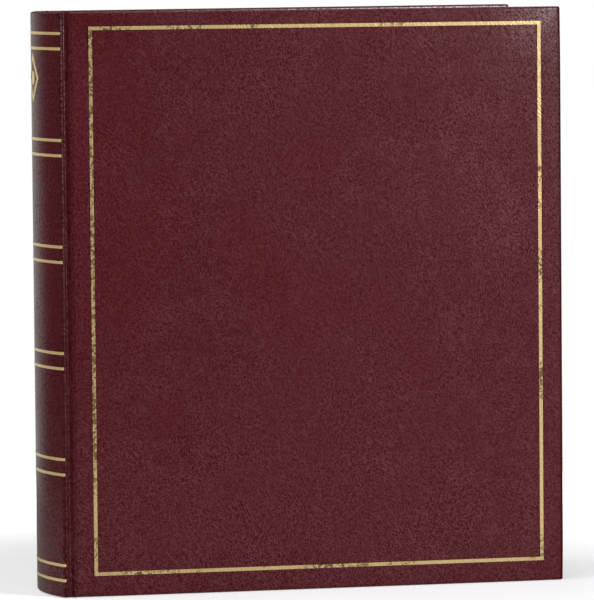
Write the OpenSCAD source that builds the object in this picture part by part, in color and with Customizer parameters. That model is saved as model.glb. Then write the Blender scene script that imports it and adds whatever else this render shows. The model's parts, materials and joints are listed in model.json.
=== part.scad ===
// Post-bound stamp album: padded covers, rounded spine and linen-hinged stock leaves.
// X runs from the spine to the fore edge, Y from the front cover to the back one, Z up.
// The album stands on its lower edges, and its back cover stands a little open.

/* [Album] */
// Height of the covers and the spine
album_h = 325; // [260:1:360]
// Outer thickness of the closed album
album_t = 70; // [62:1:90]
// Width of a cover from its joint to its fore edge
cover_w = 281.2; // [230:0.1:310]
// Angle by which the back cover stands open
back_open = 8.5; // [0:0.5:20]

/* [Covers] */
// Thickness of the leatherette
leather_t = 0.8; // [0.5:0.1:1.2]
// Thickness of the foam padding
pad_t = 3.2; // [2:0.1:4]
// Thickness of the cover board
board_t = 2.5; // [2:0.1:3]
// Thickness of the endpaper
endpaper_t = 0.4; // [0.2:0.1:0.6]
// Width of the leatherette turned in over the board
turn_in = 15; // [12:1:25]
// Width of the turned-in leatherette that the endpaper leaves bare
paper_margin = 6; // [4:1:10]
// Rounding of the padded outer edges
edge_round = 3.2; // [2:0.1:4]
// Rounding of the board's own edges
board_ease = 0.4; // [0.2:0.1:0.8]
// Rounding of a cover's corners
corner_r = 2; // [1:0.5:6]

/* [Gold] */
// Raise of the gold foil
foil_t = 0.15; // [0.1:0.05:0.3]
// Width of the frame's line
frame_line = 2; // [1:0.1:4]
// From the cover's joint edge to the frame's line
frame_joint_margin = 10.5; // [6:0.1:20]
// From the cover's fore edge to the frame's line
frame_fore_margin = 11.8; // [6:0.1:20]
// From the cover's top edge to the frame's line
frame_top_margin = 8; // [5:0.1:20]
// From the cover's bottom edge to the frame's line
frame_bottom_margin = 11.7; // [5:0.1:20]
// Pairs of gold lines on the spine
band_pairs = 6; // [2:1:8]
// From the lowest pair to the spine's lower edge
band_foot = 13.9; // [8:0.1:25]
// From the highest pair to the spine's upper edge
band_head = 15.8; // [8:0.1:25]
// Distance between the two lines of a pair
band_gap = 8.5; // [4:0.1:14]
// Width of a spine line
band_line = 1.6; // [0.8:0.1:2]
// How far round the spine's edges its gold lines run, from facing sideways to facing a cover's way
band_end_a = 85; // [60:1:88]
// Half width of the lozenge on the spine
lozenge_w = 12; // [8:0.5:14]
// Half height of the lozenge on the spine
lozenge_h = 14; // [8:0.5:14]
// From the highest pair down to the lozenge's centre
lozenge_drop = 21; // [20:0.5:26]

/* [Spine] */
// Outer radius of the rounded spine
spine_r = 82; // [75:1:160]
// Thickness of the spine's stiffener
spine_board_t = 2.5; // [2:0.1:3]
// Gap between the spine's edge and a cover's edge
joint_gap = 3.2; // [3:0.1:6]
// Depth of the groove at a joint
groove_depth = 2.4; // [1.5:0.1:3]
// Thickness of the flexible joint, covering and cloth together
joint_t = 1.3; // [0.8:0.1:1.6]
// From a cover's outer face out to the line that it turns about
hinge_out = 0.3; // [0.2:0.1:0.6]

/* [Binding] */
// Space between the binding channel and a closed cover
head_space = 1.6; // [1.4:0.1:3]
// Thickness of the binding channel's sheet
channel_t = 1; // [0.8:0.1:1.5]
// Height of the channel, the clamp bars and the spacers
binding_h = 300; // [230:1:330]
// From the spine's outermost line to the channel's free edges
channel_x = 24; // [22:0.5:30]
// Rounding of the channel's free corners
channel_corner = 6; // [2:0.5:8]
// Thickness of a clamp bar
clamp_t = 2; // [1.5:0.1:3]
// Width of a clamp bar
clamp_w = 12; // [11:0.5:13]
// Number of binding posts
post_count = 4; // [2:1:5]
// Distance between neighbouring posts
post_pitch = 80; // [40:1:90]
// Diameter of a post's barrel
post_d = 5; // [4:0.1:6]
// Diameter of a post's head
head_d = 10; // [8:0.1:10.5]
// Thickness of a head
head_t = 1.2; // [0.8:0.1:1.2]
// Diameter of a screw's shank
shank_d = 2.8; // [2.4:0.1:3.2]
// Length of a screw's shank
shank_l = 12; // [8:1:16]
// Clearance round a post in its holes, on the radius
post_clearance = 0.3; // [0.2:0.1:0.5]
// Clearance round a screw's shank in its barrel, on the radius
shank_clearance = 0.2; // [0.1:0.05:0.4]

/* [Leaves] */
// Number of leaves
leaf_count = 12; // [4:1:12]
// Height of a leaf
leaf_h = 308; // [240:1:340]
// Thickness of a leaf's card
card_t = 0.8; // [0.4:0.1:1]
// Rounding of a leaf's outer corners
leaf_corner = 4; // [1:0.5:8]
// Thickness of a bound stub
stub_t = 1.2; // [0.8:0.1:1.6]
// Thickness of a linen hinge
linen_t = 0.3; // [0.2:0.1:0.4]
// Clearance on each face of a bound linen
layer_gap = 0.02; // [0.02:0.01:0.1]
// Width of linen pasted on the leaf
linen_lap = 10; // [6:1:16]
// From the spine's outermost line to the line that the leaves turn about
leaf_hinge_x = 28; // [26:0.5:36]
// Gap between a stub and its leaf
leaf_gap = 1.2; // [1:0.1:3]
// From the stubs' bound edge to the spine's outermost line
stub_x = 9.5; // [9.5:0.5:10.5]
// From a leaf's fore edge to the covers' fore edges
fore_overhang = 8; // [4:1:16]
// Clear strips on each side of a leaf
strip_count = 6; // [3:1:8]
// Height of a clear strip
strip_h = 44; // [20:1:48]
// Thickness of a clear strip
strip_t = 0.2; // [0.1:0.05:0.3]
// From a clear strip's ends to the linen and to the leaf's fore edge
strip_margin = 4; // [2:1:12]

/* [Hidden] */
$fa = 3;
$fs = 0.5;
// Segments of the circles that the spine is cut from
spine_fn = 240;
// How far a cutting shape runs past what it cuts
over = 1;

// The covers: their layers from outside in, and where they stand
core_t = pad_t + board_t;
wrapped_t = leather_t + core_t + leather_t;
cover_t = wrapped_t + endpaper_t;
half_t = album_t / 2;
inner_y = half_t - cover_t;

// The spine: one curved shell with full-round edges
shell_t = leather_t + spine_board_t + leather_t;
shell_mid_r = spine_r - shell_t / 2;
shell_edge_y = half_t - shell_t / 2;
shell_edge_a = asin(shell_edge_y / shell_mid_r);
shell_edge_x = spine_r - shell_mid_r * cos(shell_edge_a);
spine_edge_x = shell_edge_x + shell_t / 2;
lining_r = shell_mid_r - shell_t / 2;
lining_margin = 8;
// Glue between the lining and the stiffener
glue_t = 0.05;

// The gold on the spine
band_pitch = (album_h - band_foot - band_head) / (band_pairs - 1);
lozenge_z = album_h - band_head - lozenge_drop;

// The joints
hinge_x = spine_edge_x + joint_gap / 2;
hinge_y = half_t + hinge_out;
cover_x = spine_edge_x + joint_gap;
album_w = cover_x + cover_w;

// The binding: a channel on the lining, clamp bars inside it and the stack between them
seat_gap = 0.1;
channel_r = lining_r - seat_gap;
channel_y = inner_y - head_space;
clamp_y = channel_y - channel_t;
stack_y = clamp_y - clamp_t;
binding_z = (album_h - binding_h) / 2;
post_x = channel_x - clamp_w / 2;
hole_r = post_d / 2 + post_clearance;
thread_r = shank_d / 2 + shank_clearance;

// The leaves: each takes a spacer, its linen and its stub, from front to back
leaf_pitch = 2 * stack_y / leaf_count;
spacer_t = leaf_pitch - linen_t - stub_t - 2 * layer_gap;
leaf_z = (album_h - leaf_h) / 2;
stub_end = leaf_hinge_x - leaf_gap / 2;
card_x = leaf_hinge_x + leaf_gap / 2;
card_end = album_w - fore_overhang;
strip_x = card_x + linen_lap + strip_margin;
strip_pitch = leaf_h / strip_count;

// Where the open back cover reaches furthest, and the origin under the middle of it all
arm_x = cover_w + joint_gap / 2 - edge_round;
back_reach = hinge_y + arm_x * sin(back_open) - (hinge_out + edge_round) * cos(back_open) + edge_round;
middle_x = (album_w - foil_t) / 2;
middle_y = (back_reach - half_t - foil_t) / 2;

// Moves the album from its spine's outermost line to the origin
module at_origin() {
    translate([-middle_x, -middle_y, 0]) children();
}

// A rectangle from (0, 0), its lower corners rounded by low_r and its upper ones by high_r
module rounded_section(w, t, low_r, high_r) {
    translate([low_r, 0]) square([w - 2 * low_r, t - high_r]);
    translate([0, low_r]) square([w, t - low_r - high_r]);
    translate([high_r, t - 2 * high_r]) square([w - 2 * high_r, 2 * high_r]);
    for (x = [low_r, w - low_r]) translate([x, low_r]) circle(low_r);
    for (x = [high_r, w - high_r]) translate([x, t - high_r]) circle(high_r);
}

// A cover's outline shrunk by inset: X from the joint, Y from the outer face inwards, Z up
module cover_slab(inset, t) {
    w = cover_w - 2 * inset;
    h = album_h - 2 * inset;
    low_r = edge_round - inset;
    high_r = board_ease + leather_t - inset;
    translate([inset, inset, inset]) intersection() {
        linear_extrude(h) rounded_section(w, t, low_r, high_r);
        translate([0, 0, h]) rotate([0, 90, 0])
            linear_extrude(w) rounded_section(h, t, low_r, high_r);
        rotate([90, 0, 0]) mirror([0, 0, 1])
            linear_extrude(t) rounded_section(w, h, corner_r - inset / 2, corner_r - inset / 2);
    }
}

// The part of a cover's core that lies inward of depth, or outward of it
module core_inward(depth) {
    intersection() {
        cover_slab(leather_t, core_t);
        translate([-over, depth, -over]) cube([cover_w + 2 * over, cover_t, album_h + 2 * over]);
    }
}

module core_outward(depth) {
    intersection() {
        cover_slab(leather_t, core_t);
        translate([-over, -over, -over]) cube([cover_w + 2 * over, depth + over, album_h + 2 * over]);
    }
}

// The opening in the turned-in leatherette, from depth inwards by t and lapped outwards by lap
module lining_block(depth, t, lap) {
    translate([turn_in - lap, depth, turn_in - lap])
        cube([cover_w - 2 * (turn_in - lap), t, album_h - 2 * (turn_in - lap)]);
}

module cover_board() {
    color("tan") core_inward(leather_t + pad_t);
}

module cover_padding() {
    color("ivory") core_outward(leather_t + pad_t);
}

module cover_leather() {
    color([0.34, 0.14, 0.15]) difference() {
        cover_slab(0, wrapped_t);
        cover_slab(leather_t, core_t);
        lining_block(wrapped_t - leather_t, leather_t + over, 0);
    }
}

module cover_endpaper() {
    color("wheat") {
        lining_block(wrapped_t - leather_t, leather_t, 0);
        lining_block(wrapped_t, endpaper_t, turn_in - paper_margin);
    }
}

// The front cover lies in its closed place
module front_place() {
    at_origin() translate([cover_x, -half_t, 0]) children();
}

// The back cover is the front one mirrored and turned open about its joint
module back_place() {
    at_origin()
        translate([hinge_x, hinge_y, 0]) rotate(back_open) translate([-hinge_x, -hinge_y, 0])
            mirror([0, 1, 0]) translate([cover_x, -half_t, 0]) children();
}

module front_gold_frame() {
    w = cover_w - frame_joint_margin - frame_fore_margin;
    h = album_h - frame_top_margin - frame_bottom_margin;
    color("goldenrod") front_place()
        translate([frame_joint_margin, 0, frame_bottom_margin]) difference() {
            translate([0, -foil_t, 0]) cube([w, foil_t, h]);
            translate([frame_line, -foil_t - over, frame_line])
                cube([w - 2 * frame_line, foil_t + 2 * over, h - 2 * frame_line]);
        }
}

// A sector of the plane about the spine's centre, reaching a degrees either side of its outermost line
module spine_wedge(a) {
    far = 2 * spine_r;
    polygon([[spine_r, 0], [spine_r - far, -far * tan(a)], [spine_r - far, far * tan(a)]]);
}

// The spine's ring between two radii
module spine_ring(outer_r, inner_r, a) {
    intersection() {
        translate([spine_r, 0]) difference() {
            circle(outer_r, $fn = spine_fn);
            circle(inner_r, $fn = spine_fn);
        }
        spine_wedge(a);
    }
}

// The spine's section, t thick about its middle line, with full-round edges
module spine_section(t) {
    spine_ring(shell_mid_r + t / 2, shell_mid_r - t / 2, shell_edge_a);
    for (side = [-1, 1]) translate([shell_edge_x, side * shell_edge_y]) circle(t / 2);
}

module spine_board() {
    color("tan") at_origin() translate([0, 0, leather_t])
        linear_extrude(album_h - 2 * leather_t) spine_section(spine_board_t);
}

// The lining's place on the spine's inner face, t thick
module spine_lining_block(t) {
    translate([0, 0, turn_in]) linear_extrude(album_h - 2 * turn_in)
        spine_ring(lining_r + t, lining_r, asin((shell_edge_y - lining_margin) / shell_mid_r));
}

module spine_leather() {
    color([0.3, 0.13, 0.14]) at_origin() difference() {
        linear_extrude(album_h) spine_section(shell_t);
        translate([0, 0, leather_t])
            linear_extrude(album_h - 2 * leather_t) spine_section(spine_board_t);
        spine_lining_block(leather_t);
    }
}

module spine_lining() {
    color("maroon") at_origin() spine_lining_block(leather_t - glue_t);
}

// Foil on the spine's outer face, between two heights
module spine_foil(h, a) {
    linear_extrude(h) spine_ring(spine_r + foil_t, spine_r, a);
}

// A gold line's section: over the spine's outer face and on round its edges
module band_section() {
    far = album_t;
    end = [shell_edge_x - far * cos(band_end_a), shell_edge_y + far * sin(band_end_a)];
    intersection() {
        difference() {
            spine_section(shell_t + 2 * foil_t);
            spine_section(shell_t);
            translate([spine_r, 0]) circle(shell_mid_r, $fn = spine_fn);
        }
        polygon([
            [shell_edge_x, shell_edge_y], end, [-far, end.y],
            [-far, -end.y], [end.x, -end.y], [shell_edge_x, -shell_edge_y]
        ]);
    }
}

module spine_gold_lines() {
    color("goldenrod") at_origin()
        for (i = [0:band_pairs - 1], side = [-1, 1])
            translate([0, 0, band_foot + i * band_pitch + side * band_gap / 2 - band_line / 2])
                linear_extrude(band_line) band_section();
}

// A plain lozenge outline with a disc in its middle
module spine_lozenge() {
    color("goldenrod") at_origin() intersection() {
        spine_foil(album_h, shell_edge_a);
        translate([-over, 0, lozenge_z]) rotate([0, 90, 0]) linear_extrude(spine_r) {
            difference() {
                lozenge(1);
                lozenge(1 - 2 * band_line / lozenge_w);
            }
            circle(lozenge_w / 3);
        }
    }
}

module lozenge(share) {
    polygon([[lozenge_h * share, 0], [0, lozenge_w * share], [-lozenge_h * share, 0], [0, -lozenge_w * share]]);
}

// The flexible joint about its hinge line: straight to the spine, an arc by a, straight to the cover
module joint_section(a) {
    near = hinge_out + groove_depth;
    reach = joint_gap / 2;
    translate([-reach - shell_t / 2, near]) square([reach + shell_t / 2, joint_t]);
    rotate(-a) translate([0, near]) square([reach, joint_t]);
    if (a > 0) intersection() {
        difference() {
            circle(near + joint_t);
            circle(near);
        }
        polygon([[0, 0], [0, 2 * near + joint_t], [tan(a) * (2 * near + joint_t), 2 * near + joint_t]]);
    }
}

module joint_strip(a) {
    color([0.25, 0.1, 0.11]) at_origin() difference() {
        translate([hinge_x, -hinge_y, 0]) linear_extrude(album_h) joint_section(a);
        translate([0, 0, -over]) linear_extrude(album_h + 2 * over) spine_section(shell_t);
    }
}

module front_joint() {
    joint_strip(0);
}

module back_joint() {
    translate([0, -2 * middle_y, 0]) mirror([0, 1, 0]) joint_strip(back_open);
}

function post_z(i) = album_h / 2 + (i - (post_count - 1) / 2) * post_pitch;

// One through hole for a post at every post's height, along Y
module post_holes(r) {
    for (i = [0:post_count - 1]) translate([post_x, 0, post_z(i)])
        rotate([90, 0, 0]) cylinder(r = r, h = album_t, center = true);
}

// The channel's U section: its curved web follows the spine's lining
module channel_section() {
    difference() {
        intersection() {
            translate([spine_r, 0]) circle(channel_r, $fn = spine_fn);
            translate([0, -channel_y]) square([channel_x, 2 * channel_y]);
        }
        intersection() {
            translate([spine_r, 0]) circle(channel_r - channel_t, $fn = spine_fn);
            translate([0, -clamp_y]) square([channel_x + over, 2 * clamp_y]);
        }
    }
}

module binding_channel() {
    color("dimgray") at_origin() difference() {
        intersection() {
            translate([0, 0, binding_z]) linear_extrude(binding_h) channel_section();
            translate([0, channel_y, binding_z]) rotate([90, 0, 0]) linear_extrude(2 * channel_y)
                rounded_section(channel_x, binding_h, channel_corner, channel_corner);
        }
        post_holes(hole_r);
    }
}

// A clamp bar from y inwards
module clamp_bar(y) {
    color("silver") at_origin() difference() {
        translate([channel_x - clamp_w, y + clamp_t, binding_z]) rotate([90, 0, 0])
            linear_extrude(clamp_t) rounded_section(clamp_w, binding_h, clamp_w / 4, clamp_w / 4);
        post_holes(hole_r);
    }
}

module front_clamp_bar() {
    clamp_bar(-clamp_y);
}

module back_clamp_bar() {
    clamp_bar(stack_y);
}

// Places a fastener at every post, its own Z along +Y
module at_posts() {
    for (i = [0:post_count - 1]) translate([post_x, 0, post_z(i)]) rotate([-90, 0, 0]) children();
}

// A flat head on z = 0, its outer edge chamfered
module post_head() {
    chamfer = head_t / 3;
    rotate_extrude() polygon([
        [0, 0], [head_d / 2, 0], [head_d / 2, head_t - chamfer], [head_d / 2 - chamfer, head_t], [0, head_t]
    ]);
}

// Barrels: headed at the back, threaded from the front
module binding_posts() {
    barrel_inset = 0.8;
    barrel_end = -channel_y + barrel_inset;
    color("goldenrod") at_origin() at_posts() difference() {
        union() {
            translate([0, 0, channel_y]) post_head();
            translate([0, 0, barrel_end]) cylinder(d = post_d, h = channel_y - barrel_end);
        }
        translate([0, 0, barrel_end - over]) cylinder(r = thread_r, h = shank_l + 2 * over);
    }
}

// Screws: slotted heads at the front
module post_screws() {
    slot_w = head_t;
    color("goldenrod") at_origin() at_posts() translate([0, 0, -channel_y]) {
        cylinder(d = shank_d, h = shank_l);
        mirror([0, 0, 1]) difference() {
            post_head();
            translate([-head_d, -slot_w / 2, head_t / 2]) cube([2 * head_d, slot_w, head_t]);
        }
    }
}

// The front of a leaf's share of the stack
function share_y(i) = -stack_y + i * leaf_pitch;
function linen_y(i) = share_y(i) + spacer_t + layer_gap;
function card_y(i) = linen_y(i) + linen_t;
function stub_y(i) = card_y(i) + layer_gap;

module spacer_strips() {
    color("saddlebrown") at_origin() difference() {
        for (i = [0:leaf_count - 1]) translate([stub_x, share_y(i), binding_z])
            cube([channel_x - stub_x, spacer_t, binding_h]);
        post_holes(hole_r);
    }
}

module leaf_stubs() {
    color("black") at_origin() difference() {
        for (i = [0:leaf_count - 1]) translate([stub_x, stub_y(i), leaf_z])
            cube([stub_end - stub_x, stub_t, leaf_h]);
        post_holes(hole_r);
    }
}

// The linen is bound with the stub and pasted on the leaf
module leaf_linen(i) {
    color("dimgray") at_origin() difference() {
        translate([stub_x, linen_y(i), leaf_z]) cube([card_x + linen_lap - stub_x, linen_t, leaf_h]);
        post_holes(hole_r);
    }
}

// A leaf's outline: square at its linen, its outer corners rounded
module leaf_outline(w, h, r) {
    square([w - r, h]);
    translate([0, r]) square([w, h - 2 * r]);
    for (z = [r, h - r]) translate([w - r, z]) circle(r);
}

module leaf_card(i) {
    color("black") at_origin() translate([card_x, card_y(i) + card_t, leaf_z]) rotate([90, 0, 0])
        linear_extrude(card_t) leaf_outline(card_end - card_x, leaf_h, leaf_corner);
}

// Clear strips on both faces of a leaf
module leaf_strips(i) {
    color("lightgray", 0.5) at_origin()
        for (row = [0:strip_count - 1], y = [card_y(i) - strip_t, card_y(i) + card_t])
            translate([strip_x, y, leaf_z + row * strip_pitch + (strip_pitch - strip_h) / 2])
                cube([card_end - strip_margin - strip_x, strip_t, strip_h]);
}

spine_board();
spine_leather();
spine_lining();
spine_gold_lines();
spine_lozenge();
front_joint();
back_joint();
binding_channel();
front_clamp_bar();
back_clamp_bar();
binding_posts();
post_screws();
leaf_stubs();
spacer_strips();
front_place() cover_board();  // front_board
front_place() cover_padding();  // front_padding
front_place() cover_leather();  // front_leather
front_place() cover_endpaper();  // front_endpaper
front_gold_frame();
back_place() cover_board();  // back_board
back_place() cover_padding();  // back_padding
back_place() cover_leather();  // back_leather
back_place() cover_endpaper();  // back_endpaper
leaf_card(0);  // leaf_01_card
leaf_strips(0);  // leaf_01_strips
leaf_linen(0);  // leaf_01_linen
leaf_card(1);  // leaf_02_card
leaf_strips(1);  // leaf_02_strips
leaf_linen(1);  // leaf_02_linen
leaf_card(2);  // leaf_03_card
leaf_strips(2);  // leaf_03_strips
leaf_linen(2);  // leaf_03_linen
leaf_card(3);  // leaf_04_card
leaf_strips(3);  // leaf_04_strips
leaf_linen(3);  // leaf_04_linen
leaf_card(4);  // leaf_05_card
leaf_strips(4);  // leaf_05_strips
leaf_linen(4);  // leaf_05_linen
leaf_card(5);  // leaf_06_card
leaf_strips(5);  // leaf_06_strips
leaf_linen(5);  // leaf_06_linen
leaf_card(6);  // leaf_07_card
leaf_strips(6);  // leaf_07_strips
leaf_linen(6);  // leaf_07_linen
leaf_card(7);  // leaf_08_card
leaf_strips(7);  // leaf_08_strips
leaf_linen(7);  // leaf_08_linen
leaf_card(8);  // leaf_09_card
leaf_strips(8);  // leaf_09_strips
leaf_linen(8);  // leaf_09_linen
leaf_card(9);  // leaf_10_card
leaf_strips(9);  // leaf_10_strips
leaf_linen(9);  // leaf_10_linen
leaf_card(10);  // leaf_11_card
leaf_strips(10);  // leaf_11_strips
leaf_linen(10);  // leaf_11_linen
leaf_card(11);  // leaf_12_card
leaf_strips(11);  // leaf_12_strips
leaf_linen(11);  // leaf_12_linen
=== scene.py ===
"""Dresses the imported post-bound stamp album: padded leatherette covers, a rounded spine,
gold blocking, linen-hinged stock leaves and the metal binding between them."""

import json
import math

import bmesh
import bpy
from bpy.props import FloatProperty, FloatVectorProperty, PointerProperty
from mathutils import Matrix, Vector, noise

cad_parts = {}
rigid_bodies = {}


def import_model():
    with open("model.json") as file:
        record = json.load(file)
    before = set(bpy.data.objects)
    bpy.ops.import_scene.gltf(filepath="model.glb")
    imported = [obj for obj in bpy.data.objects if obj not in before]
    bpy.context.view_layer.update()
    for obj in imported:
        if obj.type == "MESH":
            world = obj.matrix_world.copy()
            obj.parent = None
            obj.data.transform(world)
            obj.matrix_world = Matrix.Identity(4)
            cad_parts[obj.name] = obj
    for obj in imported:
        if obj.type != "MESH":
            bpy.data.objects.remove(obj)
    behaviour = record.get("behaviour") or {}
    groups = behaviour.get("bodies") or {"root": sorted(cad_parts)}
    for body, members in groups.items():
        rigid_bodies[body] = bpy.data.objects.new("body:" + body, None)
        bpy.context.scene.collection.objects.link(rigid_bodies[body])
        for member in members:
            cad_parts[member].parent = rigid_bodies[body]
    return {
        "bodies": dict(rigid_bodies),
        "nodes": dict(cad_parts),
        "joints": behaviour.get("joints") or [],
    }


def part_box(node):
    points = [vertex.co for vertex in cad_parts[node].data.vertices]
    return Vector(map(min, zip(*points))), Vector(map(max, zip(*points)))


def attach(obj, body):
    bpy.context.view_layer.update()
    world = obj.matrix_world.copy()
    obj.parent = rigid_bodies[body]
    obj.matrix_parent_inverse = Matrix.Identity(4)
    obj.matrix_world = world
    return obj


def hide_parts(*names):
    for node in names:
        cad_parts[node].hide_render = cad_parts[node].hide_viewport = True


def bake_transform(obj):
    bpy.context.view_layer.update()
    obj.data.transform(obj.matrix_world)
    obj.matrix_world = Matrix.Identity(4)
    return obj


bl_info = {
    "name": "Stamp Album",
    "version": (1, 0, 0),
    "blender": (4, 5, 0),
    "location": "View3D > Sidebar > Album",
    "description": "Makes the coverings, foil, leaves and binding finishes of a stamp album",
    "category": "Object",
}

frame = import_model()

JOINTS = {joint["name"]: joint for joint in frame["joints"]}
COVER_LO, COVER_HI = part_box("front_leather")
SPINE_LO, SPINE_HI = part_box("spine_leather")
FRONT_HINGE = Vector(JOINTS["front_cover_hinge"]["pos_m"])
BACK_HINGE = Vector(JOINTS["back_cover_hinge"]["pos_m"])
HINGE_OUT = COVER_LO.y - FRONT_HINGE.y
BACK_OPEN = math.radians(-JOINTS["back_cover_hinge"]["range_deg"][0])
MIDDLE_Y = (FRONT_HINGE.y + BACK_HINGE.y) / 2
LEAVES = sorted(body for body in frame["bodies"] if body.startswith("leaf_"))
JOINT_X = (SPINE_HI.x + COVER_LO.x) / 2
SHARP_EDGE = math.radians(40)
FINISH = "album_"


# ---------------- sizes and colours


def size(name, description, default, low, high):
    """A length in metres."""
    return FloatProperty(
        name=name, description=description, default=default, min=low, max=high, unit="LENGTH"
    )


def colour(name, description, default):
    """A colour as a person would pick it, stored in linear light."""
    return FloatVectorProperty(
        name=name, description=description, default=default, size=3, subtype="COLOR", min=0, max=1
    )


def share(name, description, default):
    """A number from 0 to 1."""
    return FloatProperty(
        name=name, description=description, default=default, min=0, max=1, subtype="FACTOR"
    )


class AlbumCoverSizes(bpy.types.PropertyGroup):
    """Sizes of the padded covers."""

    covering: size("Covering", "Thickness of the leatherette", 0.0008, 0.0004, 0.0015)
    padding: size("Padding", "Thickness of the foam", 0.0032, 0.001, 0.006)
    edge_round: size("Edge", "Rounding of the padded outer edges", 0.0014, 0.0011, 0.006)
    inner_round: size("Inner edge", "Rounding of the edges that face the leaves", 0.0008, 0.0004, 0.003)
    shoulder: size("Shoulder", "Width over which the padding thins to the edge", 0.012, 0.004, 0.03)
    shoulder_drop: size("Drop", "How far the padding thins at the edge", 0.00006, 0, 0.001)
    corner_reach: size("Corner", "How far from its corner the padding thins more", 0.042, 0.004, 0.05)
    corner_drop: size("Corner drop", "How much more the padding thins at a corner", 0.0016, 0, 0.002)
    ripple: size("Ripple", "Unevenness of the padded face", 0.00004, 0, 0.0001)
    turn_in: size("Turn-in", "Width of covering turned in over the board", 0.015, 0.01, 0.03)
    fold_width: size("Fold", "Width of the folded pleat at an inner corner", 0.0011, 0.0004, 0.003)


class AlbumSpineSizes(bpy.types.PropertyGroup):
    """Sizes of the rounded spine and of the grooves beside it."""

    radius: size("Radius", "Outer radius of the rounded spine", 0.082, 0.075, 0.16)
    shell: size("Shell", "Thickness of the covered spine", 0.0041, 0.003, 0.006)
    head_round: size("Head", "Rounding of the spine's upper and lower edges", 0.0011, 0.0004, 0.002)
    lining_margin: size("Margin", "Width of covering turned in beside the lining", 0.008, 0.004, 0.02)
    ridge: size("Ridge", "Height of the crease over the stiffener's edge", 0.00008, 0, 0.0004)
    groove_skin: size("Groove skin", "Thickness of covering and cloth in a groove", 0.001, 0.0006, 0.002)


class AlbumColours(bpy.types.PropertyGroup):
    """Colours and finishes."""

    leather: colour("Leatherette", "Body colour of the leatherette", (0.068, 0.0044, 0.0073))
    # Dark tone of the random blotches, and painted shade down in the grain's creases
    leather_dark: colour("Creases", "Colour down in the grain", (0.047, 0.0020, 0.0039))
    # Painted highlight on the grain's raised veins
    leather_vein: colour("Veins", "Colour of the raised veins", (0.092, 0.0100, 0.0140))
    foil: colour("Foil", "Colour of the gold foil", (0.80, 0.60, 0.27))
    # Dark gold of the foil's flecks: painted shade
    foil_fleck: colour("Flecks", "Colour where the foil has not taken", (0.12, 0.075, 0.02))
    leather_gloss: share("Leatherette roughness", "Roughness of the leatherette", 0.24)
    foil_gloss: share("Foil roughness", "Roughness of the foil", 0.27)
    endpaper: colour("Endpaper", "Colour of the endpapers", (0.76, 0.70, 0.58))
    cloth: colour("Lining", "Colour of the spine's lining cloth", (0.085, 0.013, 0.016))
    linen: colour("Linen", "Colour of the hinge linen", (0.022, 0.022, 0.024))
    card: colour("Card", "Colour of the leaf card", (0.0125, 0.0125, 0.0135))


class AlbumStudioSizes(bpy.types.PropertyGroup):
    """The camera and the lights."""

    lens: FloatProperty(name="Lens", description="Focal length in mm", default=325.3, min=50, max=600)
    camera: FloatVectorProperty(
        name="Camera", description="Place of the camera", default=(-0.67672, -3.00449, 0.37136),
        size=3, subtype="TRANSLATION", unit="LENGTH",
    )
    yaw: FloatProperty(name="Yaw", description="Turn to the right", default=0.22367, unit="ROTATION")
    pitch: FloatProperty(name="Pitch", description="Tilt down", default=0.06884, unit="ROTATION")
    roll: FloatProperty(name="Roll", description="Tilt to the side", default=-0.009, unit="ROTATION")
    key: FloatProperty(name="Key", description="Power of the key light", default=28, min=0, max=200)
    fill: FloatProperty(name="Fill", description="Power of the fill light", default=2.4, min=0, max=200)
    ambient: share("Ambient", "Strength of the light from all round", 0.42)
    lean: FloatProperty(
        name="Lean", description="How much more of it comes from the spine's side", default=2.6, max=3
    )
    floor: size("Floor", "Radius of the white floor", 0.62, 0.4, 6)


SETTINGS = {
    "album_cover": AlbumCoverSizes,
    "album_spine": AlbumSpineSizes,
    "album_colours": AlbumColours,
    "album_studio": AlbumStudioSizes,
}


def sizes(kind):
    """The scene's settings of one kind."""
    return getattr(bpy.context.scene, kind)


# ---------------- shader helpers


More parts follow.
